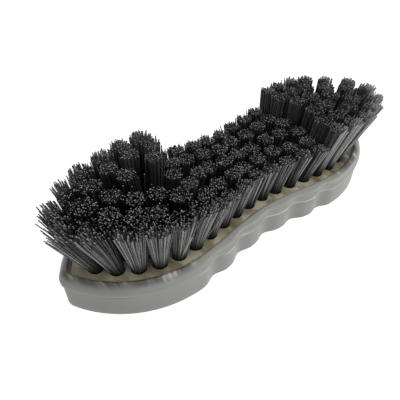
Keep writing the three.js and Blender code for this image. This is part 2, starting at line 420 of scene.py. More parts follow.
class NodeBench:
    """The node tree of one material or world, built up by expressions."""

    def __init__(self, tree: bpy.types.NodeTree) -> None:
        """Starts from an empty tree."""
        self.tree = tree
        self.tree.nodes.clear()

    def node(
        self, kind: str, output: str | None = None, inputs: Inputs | None = None, **settings: object
    ) -> NodeValue | None:
        """Adds a node.

        Args:
            kind: the node's type.
            output: name of the output socket that is used, if there is one.
            inputs: numbers, colours or values for its input sockets, by name or index.
            settings: its own properties, which are set before its sockets.

        Returns:
            The output socket as a value.
        """
        made = self.tree.nodes.new(kind)
        for name, value in settings.items():
            setattr(made, name, value)
        for key, value in (inputs or {}).items():
            self.feed(self.socket(made.inputs, key), value)
        return NodeValue(self, self.socket(made.outputs, output)) if output else None

    @staticmethod
    def socket(sockets: Sequence[bpy.types.NodeSocket], key: str | int) -> bpy.types.NodeSocket:
        """Socket of a node by index, or by name among those in use."""
        if isinstance(key, int):
            return sockets[key]
        return next(socket for socket in sockets if socket.name == key and socket.enabled)

    def feed(self, socket: bpy.types.NodeSocket, value: object) -> None:
        """Links a value to a socket, or sets a number, colour or vector on it."""
        if isinstance(value, NodeValue):
            self.tree.links.new(value.socket, socket)
        else:
            socket.default_value = (*value, 1.0) if socket.type == "RGBA" else value

    def place(self) -> NodeValue:
        """Object coordinates of the shaded point."""
        return self.node("ShaderNodeTexCoord", "Object")

    def axis(self, place: NodeValue, name: str) -> NodeValue:
        """One coordinate of a place, by the name of its axis."""
        return self.node("ShaderNodeSeparateXYZ", name, {"Vector": place})

    def attribute(self, name: str) -> NodeValue:
        """Number that the piece's mesh holds under a name."""
        return self.node("ShaderNodeAttribute", "Fac", attribute_name=name)

    def noise(self, place: NodeValue, pattern: Pattern) -> NodeValue:
        """Noise from 0 to 1.

        Args:
            place: coordinates that it varies over.
            pattern: its size, detail and squeeze.

        Returns:
            The noise.
        """
        if pattern.squeeze:
            inputs = {"Vector": place, "Scale": pattern.squeeze}
            place = self.node("ShaderNodeMapping", "Vector", inputs)
        inputs = {"Vector": place, "Scale": 1 / pattern.size, "Detail": pattern.detail}
        return self.node("ShaderNodeTexNoise", "Fac", inputs)

    def mix(self, share: object, first: object, second: object) -> NodeValue:
        """Colour between two colours, by a share from 0 to 1."""
        inputs = {"Factor": share, "A": first, "B": second}
        return self.node("ShaderNodeMix", "Result", inputs, data_type="RGBA")

    def bump(self, height: NodeValue, depth: float) -> NodeValue:
        """Normal of a surface whose height varies by a depth in metres."""
        inputs = {"Height": height, "Distance": depth, "Strength": 1.0}
        return self.node("ShaderNodeBump", "Normal", inputs)

    def seen(self) -> NodeValue:
        """Whether a ray comes from the camera, a gloss or a glass: 1 if so, or else 0."""
        camera, glossy, clear = (self.node("ShaderNodeLightPath", ray) for ray in SEEN_RAYS)
        return (camera + glossy + clear).clamped()

    def surface(self, **inputs: object) -> None:
        """Ends a material in a Principled shader with these inputs, underscores read as spaces."""
        named = {name.replace("_", " "): value for name, value in inputs.items()}
        shader = self.node("ShaderNodeBsdfPrincipled", "BSDF", named)
        self.node("ShaderNodeOutputMaterial", None, {"Surface": shader})


@dataclass(frozen=True)
class Finish:
    """A finish that makes its own material."""

    name: str

    def material(self) -> bpy.types.Material:
        """Makes the material, fills its node tree and returns it."""
        made = bpy.data.materials.new(self.name)
        made.use_nodes = True
        self.shade(NodeBench(made.node_tree))
        return made

    def shade(self, bench: NodeBench) -> None:
        """Adds the finish's nodes.

        Args:
            bench: the material's empty tree.
        """
        raise NotImplementedError


@dataclass(frozen=True)
class SatinPlastic(Finish):
    """Grey moulded satin plastic: faint flow marks, fine grain, painted light and shade."""

    name: str = "satin_grey_plastic"
    tone: Color = (0.236, 0.235, 0.219)
    pale_tone: Color = (0.274, 0.273, 0.257)
    # Pale tone of the painted highlights, and of the painted reflections.
    highlight_tone: Color = (0.72, 0.72, 0.68)
    # Dark tone of the painted shade that the tufts cast on the rim's shoulder.
    shade_tone: Color = (0.055, 0.054, 0.05)
    roughness: float = 0.45
    specular: float = 0.5
    polish: float = 0.14
    polished: Pair = (17 * MM, 20 * MM)
    flow: Pattern = Pattern(24 * MM, 3.0, (0.35, 1.0, 1.6))
    flow_limits: Pair = (0.3, 0.7)
    flow_gloss: float = 0.16
    grain: Pattern = Pattern(0.45 * MM)
    grain_gloss: float = 0.08
    grain_depth: float = 0.008 * MM
    patches: Pattern = Pattern(30 * MM, 1.0)
    patch_limits: Pair = (0.3, 0.5)
    # The painted highlights show in patches.
    highlight_limits: Pair = (0.35, 1.0)
    rub: float = 0.8
    streaks: Pattern = Pattern(3.5 * MM, 2.0, (1.0, 0.2, 0.2))
    dark_limits: Pair = (0.42, 0.6)
    least_shade: float = 0.45
    # Pale streaks of painted reflection on the shaded shoulder.
    reflection_limits: Pair = (0.42, 0.32)
    reflection_share: float = 0.6

    def shade(self, bench: NodeBench) -> None:
        """Varies tone and gloss in broad patches, polishes the rim and paints light and shade."""
        place = bench.place()
        flow = bench.noise(place, self.flow)
        grain = bench.noise(place, self.grain)
        handled = bench.axis(place, "Z").between(self.polished) * self.polish
        patches = bench.noise(place, self.patches).between(self.patch_limits)
        # Painted highlights on the parting line and the rim's inner edge.
        painted_highlight = (bench.attribute("painted_highlight") * patches).between(self.highlight_limits) * self.rub
        streak = bench.noise(place, self.streaks)
        # Painted shade of the tufts on the rim's shoulder, broken up by streaks.
        shoulder = bench.attribute("painted_shade").between(WHOLE)
        dark = self.least_shade + streak.between(self.dark_limits) * (1 - self.least_shade)
        # Painted reflection: pale streaks on the shoulder.
        painted_reflection = shoulder * streak.between(self.reflection_limits) * self.reflection_share
        moulded = bench.mix(flow.between(self.flow_limits), self.tone, self.pale_tone)
        painted_shade = bench.mix(shoulder * dark, moulded, self.shade_tone)
        gloss = (flow - NOISE_MEAN) * self.flow_gloss + (grain - NOISE_MEAN) * self.grain_gloss
        bench.surface(
            Base_Color=bench.mix((painted_highlight + painted_reflection).clamped(), painted_shade, self.highlight_tone),
            Roughness=self.roughness - handled + gloss,
            Specular_IOR_Level=self.specular,
            Normal=bench.bump(grain, self.grain_depth),
        )


@dataclass(frozen=True)
class BoardPlastic(Finish):
    """Tan moulded plastic with a soft gloss, paler clouds and brown streaks."""

    name: str = "tan_board_plastic"
    tone: Color = (0.44, 0.379, 0.25)
    pale_tone: Color = (0.88, 0.79, 0.58)
    streak_tone: Color = (0.19, 0.16, 0.105)
    roughness: float = 0.2
    specular: float = 0.3
    clouds: Pattern = Pattern(9 * MM, 3.0, (1.3, 0.6, 1.0))
    cloud_limits: Pair = (0.42, 0.62)
    streaks: Pattern = Pattern(4 * MM, 4.0, (1.0, 0.45, 1.0))
    streak_limits: Pair = (0.52, 0.78)
    streak: float = 0.7
    streak_gloss: float = 0.12
    grain: Pattern = Pattern(0.7 * MM)
    grain_share: float = 0.2
    relief: float = 0.12 * MM
    # Painted shade of the tall tufts over the near end of the board.
    shaded_end: Pair = (-58 * MM, -84 * MM)
    end_shade: float = 0.55
    stained: Pair = (40 * MM, 54 * MM)
    stain_limits: Pair = (0.4, 0.55)
    stain: float = 0.85

    def shade(self, bench: NodeBench) -> None:
        """Mixes clouds, streaks, stains and painted shade into the tan, and streaks into the gloss.
        """
        place = bench.place()
        cloud = bench.noise(place, self.clouds)
        streak = bench.noise(place, self.streaks)
        grain = bench.noise(place, self.grain)
        along = bench.axis(place, "X")
        # Painted shade at the near end, which holds back the pale clouds.
        shaded_end = along.between(self.shaded_end) * self.end_shade
        stained = streak.between(self.stain_limits) * along.between(self.stained) * self.stain
        brown = streak.between(self.streak_limits) * self.streak + stained
        pale = cloud.between(self.cloud_limits) * (1 - shaded_end)
        clouded = bench.mix(pale, self.tone, self.pale_tone)
        bench.surface(
            Base_Color=bench.mix(brown, clouded, self.streak_tone),
            Roughness=self.roughness + streak * self.streak_gloss,
            Specular_IOR_Level=self.specular,
            Normal=bench.bump(cloud + grain * self.grain_share, self.relief),
        )


@dataclass(frozen=True)
class Filament(Finish):
    """Near-black drawn filament, varied by strand, with painted light on its sides and cut ends."""

    name: str = "black_filament"
    tone: Color = (0.012, 0.012, 0.0125)
    # Pale tone of the painted light on the sides that face out of the tufts.
    lit_tone: Color = (0.43, 0.43, 0.427)
    cut_tone: Color = (0.015, 0.015, 0.0155)
    # Painted glints of the top light on the cut ends, brighter on some strands than others.
    cut_glint_tone: Color = (0.6, 0.6, 0.6)
    roughness: float = 0.38
    tone_roughness: float = 0.14
    cut_roughness: float = 0.15
    specular: float = 0.15
    marks: Pattern = Pattern(1.2 * MM, 1.0, (1.0, 1.0, 0.25))
    mark_share: float = 0.3
    # Share of the painted side light that every strand gets.
    base_side_light: float = 0.05
    # Heights over which the sides darken towards the roots, as painted shade.
    lit_heights: Pair = (19 * MM, 31 * MM)

    def shade(self, bench: NodeBench) -> None:
        """Reads strand tone, painted side light and cut ends from the mesh, and adds drawing marks.
        """
        tone = bench.attribute("tone")
        cut = bench.attribute("cut")
        place = bench.place()
        marks = bench.noise(place, self.marks)
        # Painted side light, fading towards the roots as painted shade.
        side_light = bench.attribute("side_light") * bench.axis(place, "Z").between(self.lit_heights)
        streaky = tone * (1 - self.mark_share) + marks * self.mark_share
        lit = streaky * (self.base_side_light + (1 - self.base_side_light) * side_light)
        side = bench.mix(lit.clamped(), self.tone, self.lit_tone)
        # Cut ends painted paler by strand, as their glints.
        end = bench.mix(tone * tone, self.cut_tone, self.cut_glint_tone)
        bench.surface(
            Base_Color=bench.mix(cut, side, end),
            Roughness=self.roughness + tone * self.tone_roughness + cut * self.cut_roughness,
            Specular_IOR_Level=self.specular,
        )


@dataclass
class Grip:
    """The moulded grip: a scalloped wall, a parting line, a rounded rim and the board's pocket."""

    outline: Outline
    stack: Stack
    back_inset: float = 0.7 * MM
    back_edge_radius: float = 1.4 * MM
    wall_shares: Pair = (0.35, 0.7)
    seam_height: float = 13 * MM
    seam_angle: float = 30.0
    bead_width: float = 0.7 * MM
    bead_height: float = 0.16 * MM
    edge_steps: int = 6
    rim_width: float = 5.5 * MM
    rim_rounding: float = 6 * MM
    rim_end: float = 68.0
    rim_steps: int = 20
    rim_edge_radius: float = 0.4 * MM
    rim_edge_turn: float = 60.0
    rim_edge_steps: int = 4
    core_inset: float = 7.5 * MM
    groove_depth: float = 1.2 * MM
    groove_lift: float = 0.9 * MM
    groove_height: float = 3 * MM
    # Painted highlights: the bead levels without them, their fade past the finger grips, their
    # least share.
    unhighlighted_levels: int = 2
    highlight_fade_limits: Pair = (38 * MM, 52 * MM)
    least_highlight: float = 0.5
    # Where shade is painted on the rim's shoulder: towards its inner edge, at the near end, and a
    # darkening at the far end.
    shade_insets: Pair = (0.5 * MM, 2.9 * MM)
    shade_limits: Pair = (-60 * MM, -42 * MM)
    far_darkening: float = 0.8
    far_darkening_limits: Pair = (42 * MM, 56 * MM)
    finish: Finish = SatinPlastic()

    @property
    def seam_inset(self) -> float:
        """How far in from the widest outline the parting line lies."""
        return self.rim_level(-math.radians(self.seam_angle)).inset

    def wall(self) -> list[Level]:
        """Levels from the flat back round its edge and up to the bead of the parting line."""
        radius = self.back_edge_radius
        levels = []
        for a in arc(-90, 0, self.edge_steps):
            inset = self.back_inset + radius * (1 - math.cos(a))
            levels.append(Level(inset, radius * (1 + math.sin(a)), share=1.0))
        lean = self.seam_inset - self.back_inset
        run = self.seam_height - self.bead_width - radius
        for part in self.wall_shares:
            levels.append(Level(self.back_inset + lean * part, radius + run * part, share=1.0))
        return levels

    def bead(self) -> list[Level]:
        """Levels of the fine bead that the mould's two halves left along the parting line."""
        start = self.seam_height - self.bead_width
        levels = []
        for a in arc(0, 180, self.edge_steps)[:-1]:
            z = start + self.bead_width * (1 - math.cos(a)) / 2
            levels.append(Level(self.seam_inset - self.bead_height * math.sin(a), z, share=1.0))
        return levels

    def rim_level(self, angle: float) -> Level:
        """Level of the rim's shoulder.

        Args:
            angle: angle round the shoulder in radians, 0 at its widest place.

        Returns:
            The level, which follows the scallops less and less towards the top.
        """
        start = math.sin(-math.radians(self.seam_angle))
        end = math.sin(math.radians(self.rim_end))
        rise = (math.sin(angle) - start) / (end - start)
        z = self.seam_height + (self.stack.rim_top - self.seam_height) * rise
        return Level(self.rim_rounding * (1 - math.cos(angle)), z, 1 - rise)

    def rim_edge(self) -> list[Level]:
        """Levels of the fine edge where the rim's shoulder turns down to the board."""
        radius = self.rim_edge_radius
        end = self.rim_level(math.radians(self.rim_end))
        return [
            Level(end.inset + radius * math.sin(a), end.z - radius * (1 - math.cos(a)))
            for a in arc(0, self.rim_edge_turn, self.rim_edge_steps)[1:]
        ]

    def rim(self) -> list[Level]:
        """Levels from the parting line over the rim's shoulder to its inner edge."""
        angles = arc(-self.seam_angle, self.rim_end, self.rim_steps)
        return [*map(self.rim_level, angles), *self.rim_edge()]

    def pocket(self) -> list[Level]:
        """Levels from the rim's inner edge down to the floor that the board lies on."""
        stack, rim, core = self.stack, self.rim_width, self.core_inset
        groove = core - self.groove_depth
        bottom = stack.board_bottom + self.groove_lift
        top = bottom + self.groove_height
        insets = (rim, rim, core, core, groove, groove, core, core)
        heights = (stack.face, stack.ledge, stack.ledge, top, top, bottom, bottom, stack.back)
        return [*map(Level, insets, heights)]

    def shoulder_shade(self, along: float) -> float:
        """Share of painted shade on the rim's shoulder at a place along the brush, from 0 to 1."""
        # The tufts' painted shade at the near end, and a darkening of the far end.
        far = self.far_darkening * ramp(along, self.far_darkening_limits)
        return 1 - ramp(along, self.shade_limits) + far

    def rub(self, piece: Piece) -> None:
        """Marks painted highlights on the parting line, most along the finger grips, and the rim.

        Painted shade darkens the rim's shoulder at the near end, and the far end is darkened too.

        Args:
            piece: the finished shell.
        """
        vertices = piece.data.vertices
        finder = finder_of(vertex.co for vertex in vertices)
        painted_highlight, painted_shade = np.zeros(len(vertices)), np.zeros(len(vertices))

        def spots(levels: Sequence[Level]) -> Iterator[tuple[int, Level, float]]:
            """Each vertex of some levels, with its level and its place along the brush."""
            for level in levels:
                for place in self.outline.ring(level):
                    yield finder.find(place)[1], level, place[0]

        # Painted highlight on the bead's upper levels, fading past the finger grips.
        for vertex, _, x in spots(self.bead()[self.unhighlighted_levels :]):
            painted_highlight[vertex] = 1 - (1 - self.least_highlight) * ramp(abs(x), self.highlight_fade_limits)
        # Painted highlight on the rim's inner edge, less where the shoulder is shaded.
        for vertex, _, x in spots([*self.rim_edge(), self.pocket()[0]]):
            painted_highlight[vertex] = 1 - (1 - self.least_highlight) * self.shoulder_shade(x)
        # Painted shade on the rim's shoulder, deepest towards its inner edge.
        for vertex, level, x in spots(self.rim()):
            painted_shade[vertex] = ramp(level.inset, self.shade_insets) * self.shoulder_shade(x)
        mark(piece.data, "painted_highlight", "POINT", painted_highlight)
        mark(piece.data, "painted_shade", "POINT", painted_shade)

    def build(self) -> Piece:
        """Models the grip, hides the node that it stands for and returns it."""
        section = [*self.wall(), *self.bead(), *self.rim(), *self.pocket()]
        piece = extrude_levels("grip_shell", self.outline, section)
        self.rub(piece)
        smooth(piece, MOULDED_CREASE)
        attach(piece, BODY)
        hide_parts("grip")
        return piece

    def dress(self, piece: Piece) -> None:
        """Gives the grip its satin plastic."""
        piece.data.materials.append(self.finish.material())


@dataclass(frozen=True)
class Tuft:
    """One tuft: its place on the face, its length, its zone and whether it is in the outer row."""

    x: float
    y: float
    length: float
    zone: Zone
    outer: bool


@dataclass(frozen=True)
class TuftLayout:
    """Tuft pattern: two rows along the rim, and a middle row that opens into two in the lobes."""

    outline: Outline
    first_inset: float = 11.9 * MM
    row_pitch: float = 7.9 * MM
    tuft_pitch: float = 9.3 * MM
    tall_start: float = 40 * MM
    tall_length: float = 29.5 * MM
    short_length: float = 20.5 * MM
    room_for_two: float = 3.55 * MM

    def tufts(self) -> list[Tuft]:
        """Every tuft of the brush, row by row."""
        second = self.first_inset + self.row_pitch
        outer = self.rim_row(self.first_inset, False)
        inner = [*self.rim_row(second, True), *self.middle_row(second)]
        rows = [(outer, True), (inner, False)]
        return [self.tuft(x, y, edge) for row, edge in rows for x, y in row]

    def tuft(self, x: float, y: float, outer: bool) -> Tuft:
        """The tuft at a place, tall past the ends of the waist."""
        if abs(x) <= self.tall_start:
            return Tuft(x, y, self.short_length, Zone.WAIST, outer)
        return Tuft(x, y, self.tall_length, Zone.FAR_LOBE if x > 0 else Zone.NEAR_LOBE, outer)

    def rim_row(self, inset: float, tip_tuft: bool) -> list[Pair]:
        """Row at one distance from the rim, in even steps.

        Args:
            inset: distance in from the widest outline.
            tip_tuft: whether one tuft stands at each tip, or a pair beside it.

        Returns:
            Places (x, y) of its tufts.
        """
        path = self.outline.quarter(inset)
        run = np.concatenate([[0], np.cumsum(np.hypot(*np.diff(path, axis=0).T))])
        half_step = 0.5 if tip_tuft else 0.0
        steps = round(run[-1] / self.tuft_pitch - half_step) + half_step
        at = run[-1] * (np.arange(math.ceil(steps)) + 0.5) / steps
        places = zip(np.interp(at, run, path[:, 0]), np.interp(at, run, path[:, 1]))
        return mirrored(places)

    def middle_row(self, rim_inset: float) -> list[Pair]:
        """Row inside the last rim row: single in the waist, and a pair where a lobe has room.

        Args:
            rim_inset: inset of the last rim row.

        Returns:
            Places (x, y) of its tufts.
        """
        inset = rim_inset + self.row_pitch
        last = self.outline.quarter(rim_inset)[-1][0] - self.tuft_pitch
        places = []
        for x in np.arange(0, last, self.tuft_pitch):
            half = self.outline.half_width(x, inset)
            places.append((x, -half if half > self.room_for_two else 0.0))
        return mirrored(places)


@dataclass
class TuftBoard:
    """The tan board: core, tongue and plate, drilled from its face with one hole for each tuft.

    The drill starts a mouth's depth above the face, so its top is flared twice.
    """

    outline: Outline
    stack: Stack
    tufts: Sequence[Tuft]
    core_inset: float = 7.8 * MM
    plate_inset: float = 5.55 * MM
    tongue_reach: float = 1.2 * MM
    tongue_lift: float = 1.2 * MM
    tongue_height: float = 2.4 * MM
    edge_radius: float = 0.15 * MM
    edge_steps: int = 4
    hole_radius: float = 3.35 * MM
    hole_depth: float = 8 * MM
    mouth_depth: float = 0.5 * MM
    mouth_flare: float = 1.12
    hole_sides: int = 20
    finish: Finish = BoardPlastic()

    def section(self) -> list[Level]:
        """Levels from the underside of the core up to the face, with its edge rounded."""
        core, plate = self.core_inset, self.plate_inset
        tongue = core - self.tongue_reach
        bottom = self.stack.board_bottom + self.tongue_lift
        top = bottom + self.tongue_height
        rest = self.stack.ledge + self.stack.clearance
        insets = (core, core, tongue, tongue, core, core, plate)
        heights = (self.stack.board_bottom, bottom, bottom, top, top, rest, rest)
        levels = [*map(Level, insets, heights)]
        shoulder = self.stack.face - self.edge_radius
        for a in arc(0, 90, self.edge_steps):
            inset = plate + self.edge_radius * (1 - math.cos(a))
            levels.append(Level(inset, shoulder + self.edge_radius * math.sin(a)))
        return levels

    def drill(self) -> Piece:
        """Models one drill with a flared mouth, copies it to every tuft and returns one cutter."""
        deselect_all()
        depth = self.hole_depth + self.mouth_depth
        bpy.ops.mesh.primitive_cylinder_add(
            vertices=self.hole_sides,
            radius=self.hole_radius,
            depth=depth,
            location=(0, 0, self.stack.face + self.mouth_depth - depth / 2),
        )
        master = bpy.context.active_object
        bpy.ops.object.transform_apply(location=True)
        bpy.ops.object.mode_set(mode="EDIT")
        bpy.ops.mesh.select_all(action="SELECT")
        bpy.ops.mesh.bisect(plane_co=(0, 0, self.stack.face - self.mouth_depth), plane_no=(0, 0, 1))
        shape = bmesh.from_edit_mesh(master.data)
        for vertex in shape.verts:
            vertex.select_set(vertex.co.z > self.stack.face)
        shape.select_flush_mode()
        bpy.ops.transform.resize(value=(self.mouth_flare**2, self.mouth_flare**2, 1))
        bpy.ops.object.mode_set(mode="OBJECT")
        copies = []
        for tuft in self.tufts:
            copy = master.copy()
            copy.data = master.data.copy()
            copy.location = (tuft.x, tuft.y, 0)
            bpy.context.collection.objects.link(copy)
            copies.append(copy)
        delete(master)
        for copy in copies:
            copy.select_set(True)
        bpy.context.view_layer.objects.active = copies[0]
        bpy.ops.object.join()
        bpy.ops.object.transform_apply(location=True)
        return bpy.context.active_object

    def build(self) -> Piece:
        """Models the board, drills it, hides the node that it stands for and returns it."""
        piece = extrude_levels("drilled_board", self.outline, self.section())
        cutter = self.drill()
        pick(piece)
        drilling = piece.modifiers.new("holes", "BOOLEAN")
        drilling.operation = "DIFFERENCE"
        drilling.object = cutter
        bpy.ops.object.modifier_apply(modifier=drilling.name)
        delete(cutter)
        smooth(piece, MOULDED_CREASE)
        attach(piece, BODY)
        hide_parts("tuft_board")
        return piece

    def dress(self, piece: Piece) -> None:
        """Gives the board its tan plastic."""
        piece.data.materials.clear()
        piece.data.materials.append(self.finish.material())


@dataclass(frozen=True)
class Habit:
    """How the tufts of one zone stand: how full they are, how they fan out and how loose they are.

    The fan depths say how far below the face the lines of the tufts would meet. The painted side
    light goes from the least, inside the zone, to the most, on its outside.
    """

    filaments: int
    fan_across: float
    scatter: float
    lean_scatter: float
    stray_share: float
    stray_reach: float
    least_side_light: float
    most_side_light: float = 1.0
    fan_along: float = 240 * MM
    lean_along: float = 0.0
    lean_back: float = 0.0
    lean_front: float = 0.0
    tip_radius: float = 4.3 * MM
    length_scatter: float = 0.3 * MM


HABITS: dict[Zone, Habit] = {
    Zone.NEAR_LOBE: Habit(
        filaments=120, fan_across=80 * MM, lean_back=2.8 * MM, lean_front=-2.5 * MM,
        scatter=0.45 * MM, length_scatter=0.45 * MM, lean_scatter=0.9 * MM,
        stray_share=0.05, stray_reach=3.8 * MM, least_side_light=0.0,
    ),
    Zone.WAIST: Habit(
        filaments=90, fan_across=100 * MM, lean_back=-0.7 * MM, lean_front=0.4 * MM,
        scatter=0.3 * MM, lean_scatter=0.6 * MM,
        stray_share=0.015, stray_reach=3 * MM, least_side_light=0.1,
    ),
    Zone.FAR_LOBE: Habit(
        filaments=80, fan_along=2000 * MM, fan_across=74 * MM, lean_along=4.2 * MM,
        tip_radius=5.1 * MM, scatter=0.35 * MM, lean_scatter=0.4 * MM,
        stray_share=0.01, stray_reach=2.4 * MM, least_side_light=0.2, most_side_light=2.8,
    ),
}


@dataclass(frozen=True)
class Wear:
    """How use has pushed the tufts over: swept along the brush, and parted in the near lobe.

    The near lobe is also splayed towards its end. The far lobe opens towards its own end, most at
    the front, and its back row is as narrow as when new.
    """

    sweep: float = 5 * MM
    sweep_limits: Pair = (-40 * MM, 12 * MM)
    twist: float = 6.8 * MM
    twist_limits: Pair = (0.0, 10 * MM)
    twist_fade: Pair = (-40 * MM, -85 * MM)
    parting: Pair = (-45.2 * MM, -2.4 * MM)
    parting_turn: float = 28.0
    parting_length: float = 14 * MM
    parting_width: float = 12 * MM
    parting_push: float = 8 * MM
    middle_push: float = 1.5 * MM
    middle_reach: float = 21 * MM
    middle_fade: Pair = (-44 * MM, -66 * MM)
    # Share of the painted side light that the back of the outer row keeps.
    back_side_light: float = 0.4
    front_splay: float = 0.45
    back_splay: float = 0.25
    splay: float = 0.45
    splay_limits: Pair = (-62 * MM, -86 * MM)
    end_push: float = 3.5 * MM
    far_limits: Pair = (42 * MM, 84 * MM)
    far_push: float = 4.5 * MM
    far_turn: float = 3 * MM
    far_swirl: float = 77.0
    far_gather: float = 0.2
    far_fade: float = 0.65
    far_kept: float = 0.2

    def push(self, tuft: Tuft) -> np.ndarray:
        """How far use has pushed a tuft's tip over.

        Args:
            tuft: the tuft.

        Returns:
            The push along the brush and across it.
        """
        if tuft.zone is Zone.FAR_LOBE:
            return self.opened(tuft)
        return self.swept(tuft) + self.parted(tuft)

    def opened(self, tuft: Tuft) -> np.ndarray:
        """Push in the far lobe: apart towards its end, and gathered towards the waist."""
        start, end = self.far_limits
        out = (tuft.x - start) / (end - start)
        gathered = self.far_gather * max(0.0, 1 - out / self.far_fade)
        along = self.far_push * (1 - self.far_swirl * tuft.y)
        return np.array([along * out**2, -self.far_turn * out**2 - gathered * tuft.y])

    def swept(self, tuft: Tuft) -> np.ndarray:
        """Push along the waist and the near lobe, which is twisted and opened in its middle."""
        along = self.sweep * (1 - ramp(tuft.x, self.sweep_limits))
        across = 0.0
        if tuft.zone is Zone.NEAR_LOBE:
            twisted = ramp(tuft.y, self.twist_limits) * (1 - ramp(tuft.x, self.twist_fade))
            along += self.twist * twisted
            opened = self.middle_push * (1 - ramp(tuft.x, self.middle_fade))
            across = opened * np.sign(tuft.y) * (1 - abs(tuft.y) / self.middle_reach)
        ended = self.end_push * ramp(tuft.x, self.splay_limits) * (tuft.y < 0)
        return np.array([along - ended, across])

    def parted(self, tuft: Tuft) -> np.ndarray:
        """Push away from the near lobe's parting."""
        turn = math.radians(self.parting_turn)
        apart = np.array([math.cos(turn), math.sin(turn)])
        offset = np.array([tuft.x, tuft.y]) - self.parting
        across = offset @ apart / self.parting_width
        along = (offset[0] * apart[1] - offset[1] * apart[0]) / self.parting_length
        parted = math.copysign(math.exp(-abs(across) - along**2), across)
        return self.parting_push * parted * apart

    def spread(self, tuft: Tuft) -> float:
        """How use has spread a tuft's tip.

        Args:
            tuft: the tuft.

        Returns:
            How many times wider the tip is than when new.
        """
        opened = self.splay * ramp(tuft.x, self.splay_limits)
        if tuft.outer and tuft.zone is Zone.NEAR_LOBE:
            opened += self.front_splay if tuft.y < 0 else self.back_splay
        if tuft.outer and tuft.zone is Zone.FAR_LOBE and tuft.y > 0:
            opened -= self.far_kept
        return 1 + opened


